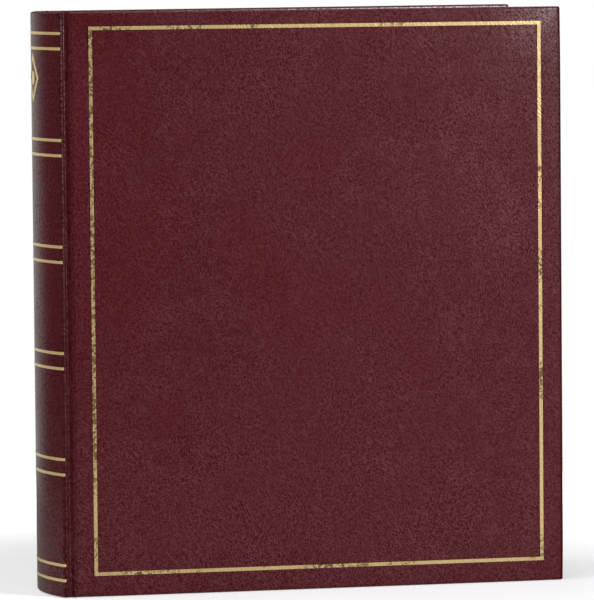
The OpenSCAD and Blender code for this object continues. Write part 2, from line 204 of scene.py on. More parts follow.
class Nodes:
    """Places and links the nodes of one material, group or world."""

    def __init__(self, tree):
        self.tree = tree
        self.column = 0

    def add(self, kind, inputs=None, **settings):
        """A node with settings on itself and values or links on its inputs."""
        node = self.tree.nodes.new(kind)
        node.location = (self.column * 40, -(self.column % 6) * 160)
        self.column += 1
        for name, value in settings.items():
            setattr(node, name, value)
        for name, value in (inputs or {}).items():
            self.put(value, node.inputs[name])
        return node

    def put(self, value, socket):
        """Links a socket to another, or sets its value. Every colour is opaque."""
        if isinstance(value, bpy.types.NodeSocket):
            self.tree.links.new(value, socket)
        elif socket.type == "RGBA":
            socket.default_value = (*value[:3], 1)
        else:
            socket.default_value = value

    def work_out(self, kind, values, **settings):
        """The result of a node on values or links, in the order of its inputs."""
        node = self.add(kind, **settings)
        for socket, value in zip(node.inputs, values):
            self.put(value, socket)
        return node.outputs[0]

    def maths(self, operation, *values, clamp=False):
        """The result of one sum."""
        return self.work_out("ShaderNodeMath", values, operation=operation, use_clamp=clamp)

    def times(self, value, factor, plus=0.0):
        """A number times another, plus a third."""
        return self.maths("MULTIPLY_ADD", value, factor, plus)

    def less(self, value, other):
        """A number less another."""
        return self.maths("SUBTRACT", value, other)

    def vector(self, operation, *values):
        """The result of one sum on vectors."""
        return self.work_out("ShaderNodeVectorMath", values, operation=operation)

    def split(self, vector):
        """The X, Y and Z of a vector."""
        return self.add("ShaderNodeSeparateXYZ", {"Vector": vector}).outputs

    def scaled(self, vector, factor):
        """A vector times a number."""
        given = {"Vector": vector, "Scale": factor}
        return self.add("ShaderNodeVectorMath", given, operation="SCALE").outputs[0]

    def ramp(self, value, low, high, to_low=0.0, to_high=1.0):
        """A value brought smoothly from one range to another."""
        node = self.add(
            "ShaderNodeMapRange",
            {"Value": value, "From Min": low, "From Max": high, "To Min": to_low, "To Max": to_high},
            interpolation_type="SMOOTHSTEP",
        )
        return node.outputs[0]

    def blend(self, factor, a, b):
        """One number turning into another."""
        return self.times(self.less(b, a), factor, a)

    def mix(self, factor, a, b):
        """One colour turning into another."""
        node = self.add("ShaderNodeMix", data_type="RGBA", clamp_factor=True)
        for name, value in (("Factor_Float", factor), ("A_Color", a), ("B_Color", b)):
            self.put(value, next(s for s in node.inputs if s.identifier == name))
        return next(s for s in node.outputs if s.identifier == "Result_Color")

    def noise(self, vector, scale, detail=2.0, roughness=0.5, distortion=0.0):
        """Cloudy noise."""
        return self.add(
            "ShaderNodeTexNoise",
            {
                "Vector": vector, "Scale": scale, "Detail": detail,
                "Roughness": roughness, "Distortion": distortion,
            },
        )


def group(name, numbers, results, build):
    """A shader group with a Position and some numbers as its inputs, made once.
    build(nodes, inputs) returns a socket for each of its results."""
    if name in bpy.data.node_groups:
        return bpy.data.node_groups[name]
    tree = bpy.data.node_groups.new(name, "ShaderNodeTree")
    tree.interface.new_socket("Position", in_out="INPUT", socket_type="NodeSocketVector")
    for label, default in numbers.items():
        socket = tree.interface.new_socket(label, in_out="INPUT", socket_type="NodeSocketFloat")
        socket.default_value = default
    for label in results:
        tree.interface.new_socket(label, in_out="OUTPUT", socket_type="NodeSocketFloat")
    nodes = Nodes(tree)
    nodes.add("NodeGroupOutput", build(nodes, nodes.add("NodeGroupInput").outputs))
    return tree


def use(nodes, tree, inputs):
    """A group placed in a material with its own values."""
    return nodes.add("ShaderNodeGroup", inputs, node_tree=tree).outputs


def leather_grain():
    """Pressed leatherette: short creases whose run changes from patch to patch, over pebbling.
    Position is first laid out flat, so that the grain also runs on over the turned edges."""

    def build(nodes, given):
        split = nodes.split(given["Position"])
        around = nodes.maths("ADD", split[0], split[1])
        through = nodes.times(nodes.less(split[0], split[1]), 0.3)
        axes = {"X": around, "Y": through, "Z": split[2]}
        sheet = nodes.add("ShaderNodeCombineXYZ", axes).outputs[0]
        bend = nodes.vector("SUBTRACT", nodes.noise(sheet, 50.0).outputs["Color"], (0.5, 0.5, 0.5))
        bent = nodes.vector("ADD", sheet, nodes.scaled(bend, given["Swirl"]))
        turned = nodes.add(
            "ShaderNodeVectorRotate", {"Vector": bent, "Angle": math.radians(42)},
            rotation_type="Y_AXIS",
        ).outputs[0]
        runs = []
        for sheet_way in (bent, turned):
            for stretch in ((1.0, 1.0, 0.23), (0.23, 1.0, 1.0)):
                drawn = nodes.vector("MULTIPLY", sheet_way, stretch)
                runs.append(nodes.noise(drawn, given["Density"], 2.0, 0.45).outputs[0])
        patches = nodes.split(nodes.noise(sheet, 46.0, 1.0).outputs["Color"])
        straight = nodes.blend(nodes.ramp(patches[0], 0.44, 0.56), runs[0], runs[1])
        slanted = nodes.blend(nodes.ramp(patches[1], 0.52, 0.64), runs[2], runs[3])
        crease = nodes.blend(nodes.ramp(patches[2], 0.36, 0.50), straight, slanted)
        lively = nodes.ramp(nodes.noise(sheet, 30.0, 1.0).outputs[0], 0.36, 0.6, 0.8, 1.0)
        drawn = nodes.vector("MULTIPLY", turned, (1.0, 1.0, 0.16))
        fold = nodes.noise(drawn, nodes.times(given["Density"], 0.36), 1.0).outputs[0]
        folded = nodes.times(nodes.ramp(fold, 0.54, 0.72), nodes.ramp(patches[0], 0.5, 0.56))
        fleck = nodes.noise(bent, nodes.times(given["Density"], 0.75), 1.0).outputs[0]
        pebble = nodes.add(
            "ShaderNodeTexVoronoi",
            {"Vector": bent, "Scale": nodes.times(given["Density"], 1.3)},
            feature="SMOOTH_F1",
        ).outputs["Distance"]
        crease = nodes.times(nodes.less(fleck, 0.5), 0.35, crease)
        crease = nodes.times(folded, 0.14, crease)
        relief = nodes.times(nodes.less(crease, 0.5), lively)
        return {
            "Height": nodes.times(pebble, -0.08, nodes.times(relief, 2.2)),
            "Creases": nodes.times(nodes.ramp(crease, 0.41, 0.5, 1.0, 0.0), lively),
            "Veins": nodes.times(nodes.ramp(crease, 0.5, 0.59), lively),
            "Blotches": nodes.ramp(nodes.noise(sheet, 16.0, 2.0, 0.55).outputs[0], 0.35, 0.65),
        }

    return group(
        "leather_grain",
        {"Density": 2400.0, "Swirl": 0.002},
        ("Height", "Creases", "Veins", "Blotches"),
        build,
    )


def woven_threads():
    """Over-and-under threads along two directions."""

    def build(nodes, given):
        place = nodes.scaled(given["Position"], given["Threads"])
        wobble = nodes.noise(given["Position"], 160.0, 2.0).outputs["Color"]
        place = nodes.vector("ADD", place, nodes.scaled(wobble, 0.7))
        split = nodes.split(place)
        across = nodes.maths("SINE", nodes.maths("ADD", split[0], split[1]))
        along = nodes.maths("SINE", split[2])
        over = nodes.times(across, along)
        return {"Height": nodes.maths("ABSOLUTE", over), "Shade": nodes.ramp(over, -0.9, 0.9)}

    return group("woven_threads", {"Threads": 5200.0}, ("Height", "Shade"), build)


def paper_fibres():
    """Felted fibres and small flecks of paper and board."""

    def build(nodes, given):
        stretched = nodes.vector("MULTIPLY", given["Position"], (1.0, 1.0, 0.3))
        fibre = nodes.noise(stretched, given["Fineness"], 4.0, 0.65, 0.6).outputs[0]
        cloud = nodes.noise(given["Position"], 45.0, 3.0, 0.6).outputs[0]
        fleck_noise = nodes.noise(given["Position"], nodes.times(given["Fineness"], 0.8), 1.0)
        fleck = nodes.ramp(fleck_noise.outputs[0], 0.66, 0.74)
        return {"Height": fibre, "Cloud": cloud, "Flecks": fleck}

    return group("paper_fibres", {"Fineness": 900.0}, ("Height", "Cloud", "Flecks"), build)


def fine_wear():
    """Soft smudges and hairline scratches of handled metal and film."""

    def build(nodes, given):
        smudge = nodes.noise(given["Position"], 38.0, 3.0, 0.6).outputs[0]
        drawn = nodes.vector("MULTIPLY", given["Position"], (1.0, 1.0, 0.02))
        hair = nodes.noise(drawn, given["Hairlines"], 2.0, 0.6).outputs[0]
        return {"Smudges": smudge, "Hairlines": hair}

    return group("fine_wear", {"Hairlines": 2600.0}, ("Smudges", "Hairlines"), build)


def emptied(owner):
    """The emptied shader tree of a material or a world."""
    owner.use_nodes = True
    owner.node_tree.nodes.clear()
    return Nodes(owner.node_tree)


def new_material(name):
    """An empty material with its surface shader and the object's own coordinates."""
    material = bpy.data.materials.new(FINISH + name)
    nodes = emptied(material)
    shader = nodes.add("ShaderNodeBsdfPrincipled")
    nodes.add("ShaderNodeOutputMaterial", {"Surface": shader.outputs["BSDF"]})
    place = nodes.add("ShaderNodeTexCoord").outputs["Object"]
    return material, nodes, shader, place


def bump(nodes, shader, height, strength, distance):
    """Gives a shader's surface the relief of a height."""
    node = nodes.add("ShaderNodeBump", {"Height": height, "Strength": strength, "Distance": distance})
    nodes.put(node.outputs["Normal"], shader.inputs["Normal"])


def dress(nodes, shader, base, rough):
    """Gives a shader its colour and its roughness."""
    nodes.put(base, shader.inputs["Base Color"])
    nodes.put(rough, shader.inputs["Roughness"])


def shade(base, factor):
    """A colour made darker or lighter."""
    return [c * factor for c in base]


def once(build):
    """Keeps the material that a function makes, under the function's name."""

    def made():
        return bpy.data.materials.get(FINISH + build.__name__) or build()

    return made


# ---------------- finishes


# Depth below the head within which the leatherette grows rougher, from none to all
HEAD_RUB = (0.0012, 0.0003)
# Where on X the painted shade and the dull scuff along an upright edge start and are whole, and their
# strength
NO_EDGE_SHADE_OR_RUB = (0.0, 1.0, 0.0)


def leatherette(name, density, relief, edge_shade_and_rub=NO_EDGE_SHADE_OR_RUB, sheet=(1.0, 1.0, 1.0)):
    """Grained burgundy leatherette, scuffed dull along its head, and along one upright edge scuffed dull
    and darkened with painted shade.
    sheet scales the coordinates, to lay the grain out along a curved piece."""
    colours = sizes("album_colours")
    material, nodes, shader, place = new_material(name)
    laid = nodes.vector("MULTIPLY", place, sheet)
    grain = use(nodes, leather_grain(), {"Position": laid, "Density": density, "Swirl": 0.002})
    split = nodes.split(place)
    head = nodes.ramp(split[2], *[COVER_HI.z - depth for depth in HEAD_RUB])
    start, end, strength = edge_shade_and_rub
    edge = nodes.ramp(split[0], start, end, 0.0, strength)
    blotched = nodes.times(grain["Blotches"], 0.16)
    body = nodes.mix(blotched, colours.leather, colours.leather_dark)
    # Painted shade darkens the creases and a painted highlight lightens the raised veins
    creased = nodes.mix(grain["Creases"], body, colours.leather_dark)
    veined = nodes.mix(grain["Veins"], creased, colours.leather_vein)
    # Painted shade darkens the leatherette along the upright edge
    edge_shaded = nodes.mix(edge, veined, shade(colours.leather, 0.55))
    rough = nodes.times(grain["Creases"], 0.08, colours.leather_gloss)
    rough = nodes.times(edge, 0.26, rough)
    rough = nodes.times(head, 0.26, rough)
    dress(nodes, shader, edge_shaded, nodes.times(grain["Blotches"], 0.03, rough))
    shine = nodes.times(grain["Veins"], 0.38, 0.34)
    shine = nodes.times(grain["Creases"], -0.26, shine)
    shine = nodes.times(shine, nodes.times(edge, -0.9, 1.0))
    nodes.put(shine, shader.inputs["Specular IOR Level"])
    bump(nodes, shader, grain["Height"], 0.42, relief)
    return material


@once
def cover_leatherette():
    """The covers' grain, scuffed dull and darkened with painted shade along the fore edge."""
    fore_edge = (COVER_HI.x - 0.0028, COVER_HI.x - 0.0008, 1.0)
    return leatherette("cover_leatherette", 2400.0, 0.000035, fore_edge)


@once
def spine_leatherette():
    """The spine's grain, laid out round its curve, scuffed dull and darkened with painted shade along
    its round edges.
    """
    round_edge = (SPINE_HI.x - 0.0040, SPINE_HI.x - 0.0024, 0.65)
    return leatherette("spine_leatherette", 2300.0, 0.00003, round_edge, sheet=(0.1, 1.0, 1.0))


@once
def groove_leatherette():
    """The grooves' grain, laid out across the groove."""
    return leatherette("groove_leatherette", 1800.0, 0.00003, sheet=(1.0, 0.0, 1.0))


# Height about which the foil's painted-shade flecks are thickest
FOIL_FLECK_HEIGHT = 0.15


@once
def gold_foil():
    """Hot-stamped gold foil. On the cover it carries dark flecks of painted shade in uneven patches,
    thickest about one height and towards the spine."""
    colours = sizes("album_colours")
    material, nodes, shader, place = new_material("gold_foil")
    grain = use(nodes, leather_grain(), {"Position": place, "Density": 1200.0, "Swirl": 0.003})
    across, _, up = nodes.split(place)
    cloud = nodes.noise(place, 44.0, 3.0, 0.6).outputs[0]
    uneven = nodes.times(across, -0.7, cloud)
    from_fleck_height = nodes.maths("ABSOLUTE", nodes.less(up, FOIL_FLECK_HEIGHT))
    uneven = nodes.maths("ADD", nodes.ramp(from_fleck_height, 0.04, 0.11, 0.08, 0.0), uneven)
    on_cover = nodes.ramp(across, JOINT_X - 0.003, JOINT_X + 0.003)
    patchy = nodes.times(nodes.ramp(uneven, 0.45, 0.60), on_cover)
    speckle = nodes.ramp(nodes.noise(place, 620.0, 2.0, 0.6).outputs[0], 0.46, 0.54)
    fleck = nodes.times(speckle, patchy)
    # The flecks are painted shade, in the foil's own gold darkened
    flecked = nodes.mix(fleck, colours.foil, colours.foil_fleck)
    dress(nodes, shader, flecked, nodes.times(fleck, 0.25, colours.foil_gloss))
    sheen = nodes.times(on_cover, 0.25, 0.48)
    nodes.put(nodes.times(fleck, -0.35, sheen), shader.inputs["Metallic"])
    bump(nodes, shader, grain["Height"], 0.4, 0.00010)
    return material


@once
def endpaper():
    """Cream laid paper with faint chain lines."""
    material, nodes, shader, place = new_material("endpaper")
    fibres = use(nodes, paper_fibres(), {"Position": place, "Fineness": 1100.0})
    split = nodes.split(place)
    laid = nodes.maths("SINE", nodes.times(split[2], 4800.0))
    chain = nodes.ramp(nodes.maths("SINE", nodes.times(split[0], 250.0)), 0.965, 1.0)
    base = sizes("album_colours").endpaper
    toned = nodes.mix(nodes.times(fibres["Cloud"], 0.35), base, shade(base, 0.86))
    lined = nodes.mix(nodes.times(chain, 0.25), toned, shade(base, 0.8))
    flecked = nodes.mix(nodes.times(fibres["Flecks"], 0.22), lined, (0.42, 0.33, 0.22))
    dress(nodes, shader, flecked, nodes.times(fibres["Cloud"], 0.12, 0.72))
    bump(nodes, shader, nodes.times(laid, 0.12, fibres["Height"]), 0.25, 0.00008)
    return material


def board(name, base, fleck, fineness):
    """Pressed board or card."""
    material, nodes, shader, place = new_material(name)
    fibres = use(nodes, paper_fibres(), {"Position": place, "Fineness": fineness})
    toned = nodes.mix(fibres["Cloud"], shade(base, 1.12), shade(base, 0.86))
    flecked = nodes.mix(nodes.times(fibres["Flecks"], 0.5), toned, fleck)
    dress(nodes, shader, flecked, nodes.times(fibres["Height"], 0.2, 0.68))
    bump(nodes, shader, fibres["Height"], 0.35, 0.0001)
    return material


@once
def greyboard():
    """Raw grey board."""
    return board("greyboard", (0.27, 0.22, 0.16), (0.10, 0.08, 0.06), 700.0)


@once
def spacer_board():
    """Dark pressed board."""
    return board("spacer_board", (0.034, 0.031, 0.031), (0.09, 0.085, 0.08), 800.0)


@once
def leaf_card():
    """Matt black card."""
    return board("leaf_card", sizes("album_colours").card, (0.035, 0.035, 0.037), 1200.0)


@once
def foam():
    """Open-cell foam."""
    material, nodes, shader, place = new_material("foam")
    cells = nodes.add("ShaderNodeTexVoronoi", {"Vector": place, "Scale": 1400.0}).outputs["Distance"]
    cloud = nodes.noise(place, 60.0, 2.0).outputs[0]
    pores = nodes.ramp(cells, 0.1, 0.6)
    # Painted shade darkens the foam down in its open cells
    celled = nodes.mix(pores, (0.42, 0.38, 0.28), (0.76, 0.72, 0.58))
    dress(nodes, shader, celled, nodes.times(cloud, 0.1, 0.82))
    bump(nodes, shader, pores, 0.6, 0.0002)
    return material


def woven(name, base, threads, relief):
    """Plain-woven cloth."""
    material, nodes, shader, place = new_material(name)
    weave = use(nodes, woven_threads(), {"Position": place, "Threads": threads})
    slub = nodes.ramp(nodes.noise(place, 240.0, 3.0, 0.6).outputs[0], 0.35, 0.7)
    lit = nodes.mix(weave["Shade"], shade(base, 0.62), shade(base, 1.35))
    slubbed = nodes.mix(nodes.times(slub, 0.3), lit, shade(base, 1.6))
    dress(nodes, shader, slubbed, nodes.times(weave["Height"], -0.08, 0.85))
    shader.inputs["Sheen Weight"].default_value = 0.15
    bump(nodes, shader, weave["Height"], 0.6, relief)
    return material


@once
def lining_cloth():
    """Burgundy lining cloth."""
    return woven("lining_cloth", sizes("album_colours").cloth, 9000.0, 0.00015)


@once
def hinge_linen():
    """Black hinge linen."""
    return woven("hinge_linen", sizes("album_colours").linen, 11000.0, 0.00012)


def metal(name, base, rough, hairlines, relief, metallic=1.0, coat=0.0):
    """Handled sheet or turned metal."""
    material, nodes, shader, place = new_material(name)
    wear = use(nodes, fine_wear(), {"Position": place, "Hairlines": hairlines})
    smudged = nodes.mix(wear["Smudges"], shade(base, 1.08), shade(base, 0.82))
    spread = nodes.times(wear["Smudges"], 0.16, rough)
    dress(nodes, shader, smudged, nodes.times(wear["Hairlines"], 0.08, spread))
    shader.inputs["Metallic"].default_value = metallic
    shader.inputs["Coat Weight"].default_value = coat
    bump(nodes, shader, wear["Hairlines"], 0.2, relief)
    return material


@once
def channel_steel():
    """Black enamelled sheet steel."""
    return metal(
        "channel_steel", (0.012, 0.012, 0.014), 0.24, 420.0, 0.00008, metallic=0.0, coat=0.4
    )


@once
def clamp_aluminium():
    """Satin anodised aluminium."""
    return metal("clamp_aluminium", (0.62, 0.63, 0.65), 0.30, 3400.0, 0.00003)


@once
def post_brass():
    """Turned brass."""
    return metal("post_brass", (0.72, 0.50, 0.19), 0.20, 2800.0, 0.00003)


@once
def clear_film():
    """Clear stock-strip film, welded along its lower edge."""
    material, nodes, shader, place = new_material("clear_film")
    wear = use(nodes, fine_wear(), {"Position": place, "Hairlines": 900.0})
    rough = nodes.times(wear["Smudges"], 0.12, 0.04)
    dress(nodes, shader, (0.82, 0.86, 0.9), rough)
    nodes.put(nodes.times(wear["Hairlines"], 0.10, 0.10), shader.inputs["Alpha"])
    bump(nodes, shader, wear["Smudges"], 0.15, 0.0006)
    return material


# ---------------- mesh helpers


def new_object(name, data):
    """An object in the scene."""
    obj = bpy.data.objects.new(name, data)
    bpy.context.scene.collection.objects.link(obj)
    return obj


def new_mesh(bm, name, material):
    """Turns a bmesh into a mesh with one material."""
    mesh = bpy.data.meshes.new(name)
    bm.to_mesh(mesh)
    bm.free()
    mesh.materials.append(material)
    return mesh


def new_piece(bm, name, material):
    """Turns a bmesh into an object whose place is in its mesh."""
    mesh = new_mesh(bm, name, material)
    mesh.shade_smooth()
    mesh.set_sharp_from_angle(angle=SHARP_EDGE)
    obj = new_object(name, mesh)
    return obj


def slice_across(bm, axis, places):
    """Cuts every face along planes square to an axis."""
    normal = Vector((0, 0, 0))
    normal[axis] = 1
    for place in sorted(places):
        bmesh.ops.bisect_plane(
            bm, geom=[*bm.verts, *bm.edges, *bm.faces], plane_co=normal * place, plane_no=normal,
            dist=1e-7,
        )


def round_cuts(length, near, far, steps):
    """Cut places at both ends of a length that make even steps once the ends are rounded."""
    tangents = [math.tan(math.radians(45 * k / steps)) for k in range(steps)]
    return [near * (1 - t) for t in tangents] + [length - far * (1 - t) for t in tangents]


def even_cuts(start, end, step):
    """Cut places between two ends, about a step apart."""
    count = max(1, round((end - start) / step))
    return [start + (end - start) * k / count for k in range(1, count)]


def round_off(co, extent, near, far, plan_power):
    """Moves a point of a block's surface onto the block with rounded edges.
    near and far are the roundings towards the origin and away from it, along X, Y and Z.
    plan_power is 2 for a round corner in plan, and more for a squarer one."""
    core = Vector([min(max(c, n), s - f) for c, n, f, s in zip(co, near, far, extent)])
    reach = [(n if c < k else f) for c, k, n, f in zip(co, core, near, far)]
    off = [(c - k) / r if r else 0 for c, k, r in zip(co, core, reach)]
    plan = (abs(off[0]) ** plan_power + abs(off[2]) ** plan_power) ** (1 / plan_power)
    whole = math.hypot(plan, off[1])
    if whole < 1e-9:
        return co.copy()
    return Vector([k + o / whole * r for k, o, r in zip(core, off, reach)])


def block(extent, cuts):
    """A block from the origin, cut across its three axes."""
    bm = bmesh.new()
    bmesh.ops.create_cube(bm, size=1)
    bmesh.ops.translate(bm, vec=(0.5, 0.5, 0.5), verts=bm.verts)
    bmesh.ops.scale(bm, vec=extent, verts=bm.verts)
    for axis, places in enumerate(cuts):
        slice_across(bm, axis, places)
    return bm


def window_faces(bm, level, low, high):
    """The faces of a block that lie flat at one Y, between two corners on X and Z."""
    found = []
    for face in bm.faces:
        middle = face.calc_center_median()
        within = low[0] < middle.x < high[0] and low[1] < middle.z < high[1]
        if within and all(abs(v.co.y - level) < 1e-7 for v in face.verts):
            found.append(face)
    return found


def add_wall(obj, thickness):
    """Gives a skin its thickness, inwards."""
    wall = obj.modifiers.new("wall", "SOLIDIFY")
    wall.thickness = thickness
    wall.offset = -1
    wall.use_even_offset = True


# ---------------- covers


def in_front(co):
    """A point of a cover, X from its joint edge and Y from its outer face, on the front cover."""
    return Vector((COVER_LO.x + co.x, COVER_LO.y + co.y, co.z))


def on_back(co):
    """The same point on the back cover, mirrored and turned open about its joint."""
    arm = Vector((COVER_LO.x + co.x - BACK_HINGE.x, -HINGE_OUT - co.y, co.z))
    arm.rotate(Matrix.Rotation(BACK_OPEN, 3, "Z"))
    return Vector((BACK_HINGE.x + arm.x, BACK_HINGE.y + arm.y, co.z))


# From a slab's rounded edges to a line of cuts that keeps its faces flat up to them
RIM_LINE = 0.0004
# Rounding of the foam's inner edges
FOAM_EASE = 0.0003


def padded_slab(inset, top, thickness, inner_round, window):
    """A padded slab, inset from the cover's outline and lying top below its outer face.
    Faces of the inner side that lie further in than window are left out, if window isn't 0."""
    cover = sizes("album_cover")
    w, h = COVER_HI.x - COVER_LO.x - 2 * inset, COVER_HI.z - COVER_LO.z - 2 * inset
    outer = cover.edge_round - top
    block_size = (w, thickness, h)
    near = (outer, outer, outer)
    far = (outer, inner_round, outer)
    soft = [cover.shoulder * k / 6 for k in range(2, 7)]
    cuts = []
    for axis, length in enumerate(block_size):
        places = round_cuts(length, near[axis], far[axis], steps=5)
        if axis != 1:
            edges = soft + [length - s for s in soft]
            places += edges + even_cuts(max(soft), length - max(soft), step=0.012)
            places += [near[axis] + RIM_LINE, length - far[axis] - RIM_LINE]
            places += [window, length - window] if window else []
        cuts.append(places)
    bm = block(block_size, cuts)
    gone = []
    if window:
        gone = window_faces(bm, thickness, (window, window), (w - window, h - window))
    for v in bm.verts:
        v.co = round_off(v.co, block_size, near, far, plan_power=3.0)
    for v in bm.verts:
        sides = [min(v.co.x, w - v.co.x), min(v.co.z, h - v.co.z)]
        thin = [max(0.0, 1 - s / cover.shoulder) ** 2 for s in sides]
        edge = 1 - (1 - thin[0]) * (1 - thin[1])
        corner = max(0.0, 1 - math.hypot(*sides) / cover.corner_reach) ** 2
        outside = max(0.0, 1 - 2 * v.co.y / thickness)
        wave = noise.noise(v.co * 24) * 0.7 + noise.noise(v.co * 61) * 0.3
        lift = cover.ripple * (wave - 0.6) * (1 - edge)
        v.co.y += outside * (cover.shoulder_drop * edge + cover.corner_drop * corner - lift)
    for v in bm.verts:
        v.co += Vector((inset, top, inset))
    bmesh.ops.recalc_face_normals(bm, faces=bm.faces)
    bmesh.ops.delete(bm, geom=gone, context="FACES")
    return bm


def set_in_place(bm, place):
    """Moves a cover's piece onto its cover, its faces still outwards."""
    for v in bm.verts:
        v.co = place(v.co)
    if place is on_back:
        bmesh.ops.reverse_faces(bm, faces=bm.faces)


def corner_pleats(place):
    """The folded pleat of covering at each inner corner, running in at 45 degrees."""
    cover = sizes("album_cover")
    w, h = COVER_HI.x - COVER_LO.x, COVER_HI.z - COVER_LO.z
    depth = COVER_HI.y - COVER_LO.y
    start, end = cover.inner_round * 1.3, cover.turn_in * 0.62
    length = (end - start) * math.sqrt(2)
    thick, proud, ease = 0.00024, 0.00004, 0.0001
    bm = bmesh.new()
    for x, z, turn in ((0, 0, -45), (w, 0, -135), (w, h, 135), (0, h, 45)):
        made = bmesh.ops.create_cube(bm, size=1)["verts"]
        bmesh.ops.scale(bm, vec=(length, thick, cover.fold_width), verts=made)
        bmesh.ops.translate(bm, vec=(length / 2 + start * math.sqrt(2), 0, 0), verts=made)
        bmesh.ops.rotate(bm, matrix=Matrix.Rotation(math.radians(turn), 3, "Y"), verts=made)
        bmesh.ops.translate(bm, vec=(x, depth + proud, z), verts=made)
    edges = [e for e in bm.edges if e.calc_length() > cover.fold_width * 2]
    bmesh.ops.bevel(
        bm, geom=edges, offset=ease, segments=3, profile=0.5, affect="EDGES", material=-1
    )
    bmesh.ops.recalc_face_normals(bm, faces=bm.faces)
    set_in_place(bm, place)
    return bm


def make_cover(side, place):
    """The covering, the padding under it and the pleats of one cover."""
    cover = sizes("album_cover")
    body = f"{side}_cover"
    wrapped = COVER_HI.y - COVER_LO.y
    skin = padded_slab(0, 0, wrapped, cover.inner_round, cover.turn_in)
    set_in_place(skin, place)
    covering = new_piece(skin, f"{side}_cover_covering", cover_leatherette())
    add_wall(covering, cover.covering)
    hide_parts(f"{side}_leather")
    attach(covering, body)

    pad = padded_slab(cover.covering, cover.covering, cover.padding, FOAM_EASE, 0)
    set_in_place(pad, place)
    padding = new_piece(pad, f"{side}_cover_foam", foam())
    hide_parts(f"{side}_padding")
    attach(padding, body)

    pleats = new_piece(corner_pleats(place), f"{side}_cover_pleats", cover_leatherette())
    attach(pleats, body)


# ---------------- spine and grooves


def bend_round(co, half, middle_radius):
    """A point of the flat spine, X along the curve and Y outwards, bent round the spine."""
    along = max(-half, min(half, co.x))
    angle = along / middle_radius
    outwards = Vector((-math.cos(angle), math.sin(angle), 0))
    past = Vector((math.sin(angle), math.cos(angle), 0)) * (co.x - along)
    centre = Vector((SPINE_LO.x + sizes("album_spine").radius, MIDDLE_Y, 0))
    return centre + outwards * (middle_radius + co.y) + past + Vector((0, 0, co.z))


# The two ridges round the stiffener's edge and the dip between them: each one's place and width
# in degrees from the spine's face, and its height
RIDGES = ((4, 9, 1.0), (66, 11, 1.15), (36, 15, -0.8))


def spine_ridges(angle):
    """How far the covering stands proud round the stiffener's edge, by degrees from its face."""
    waves = [high * math.exp(-(((angle - at) / wide) ** 2)) for at, wide, high in RIDGES]
    return sizes("album_spine").ridge * sum(waves)


def make_spine():
    """The spine's covering, turned in round the stiffener, with a window for the lining."""
    spine = sizes("album_spine")
    cover = sizes("album_cover")
    height = SPINE_HI.z - SPINE_LO.z
    radius = spine.radius - spine.shell / 2
    edge = (SPINE_HI.y - SPINE_LO.y) / 2 - spine.shell / 2
    edge_angle = math.asin(edge / radius)
    half = edge_angle * radius
    lining = math.asin((edge - spine.lining_margin) / radius) * radius
    r = spine.shell / 2
    block_size = (2 * (half + r), spine.shell, height)
    near = far = (r, r, spine.head_round)
    across = round_cuts(block_size[0], r, r, steps=10)
    across += even_cuts(r, block_size[0] - r, step=0.0028)
    low = (half + r - lining, cover.turn_in)
    high = (half + r + lining, height - cover.turn_in)
    across += [low[0], high[0]]
    up = round_cuts(height, spine.head_round, spine.head_round, steps=4)
    up += even_cuts(0.002, height - 0.002, step=0.013) + [low[1], high[1]]
    bm = block(block_size, (across, round_cuts(spine.shell, r, r, steps=10), up))
    gone = window_faces(bm, 0, low, high)
    for v in bm.verts:
        co = round_off(v.co, block_size, near, far, plan_power=2.0) - Vector((half + r, r, 0))
        past = abs(co.x) - half
        if past > -0.002 and co.y > -r / 2:
            angle = math.degrees(math.atan2(past, max(co.y, 1e-9)))
            grown = 1 + spine_ridges(angle) / r
            if past > 0:
                co.x = math.copysign(half + past * grown, co.x)
            co.y *= grown
        v.co = bend_round(co, half, radius)
    bmesh.ops.recalc_face_normals(bm, faces=bm.faces)
    bmesh.ops.delete(bm, geom=gone, context="FACES")
    covering = new_piece(bm, "spine_covering", spine_leatherette())
    add_wall(covering, cover.covering)
    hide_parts("spine_leather")
    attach(covering, "spine")


# A groove's outer face in mm: across from the joint's middle towards the cover, and in from its hinge
GROOVE_LINE = (
    (-2.30, 2.05), (-1.85, 2.30), (-1.45, 2.52), (-0.95, 2.55), (-0.30, 2.25),
    (0.40, 1.68), (1.00, 1.12), (1.50, 0.78), (2.10, 0.64),
)


# How far a groove's ends are drawn in, and over what height
END_DRAW, END_REACH = 0.0006, 0.0025
# Rows of faces up a groove
GROOVE_ROWS = 26


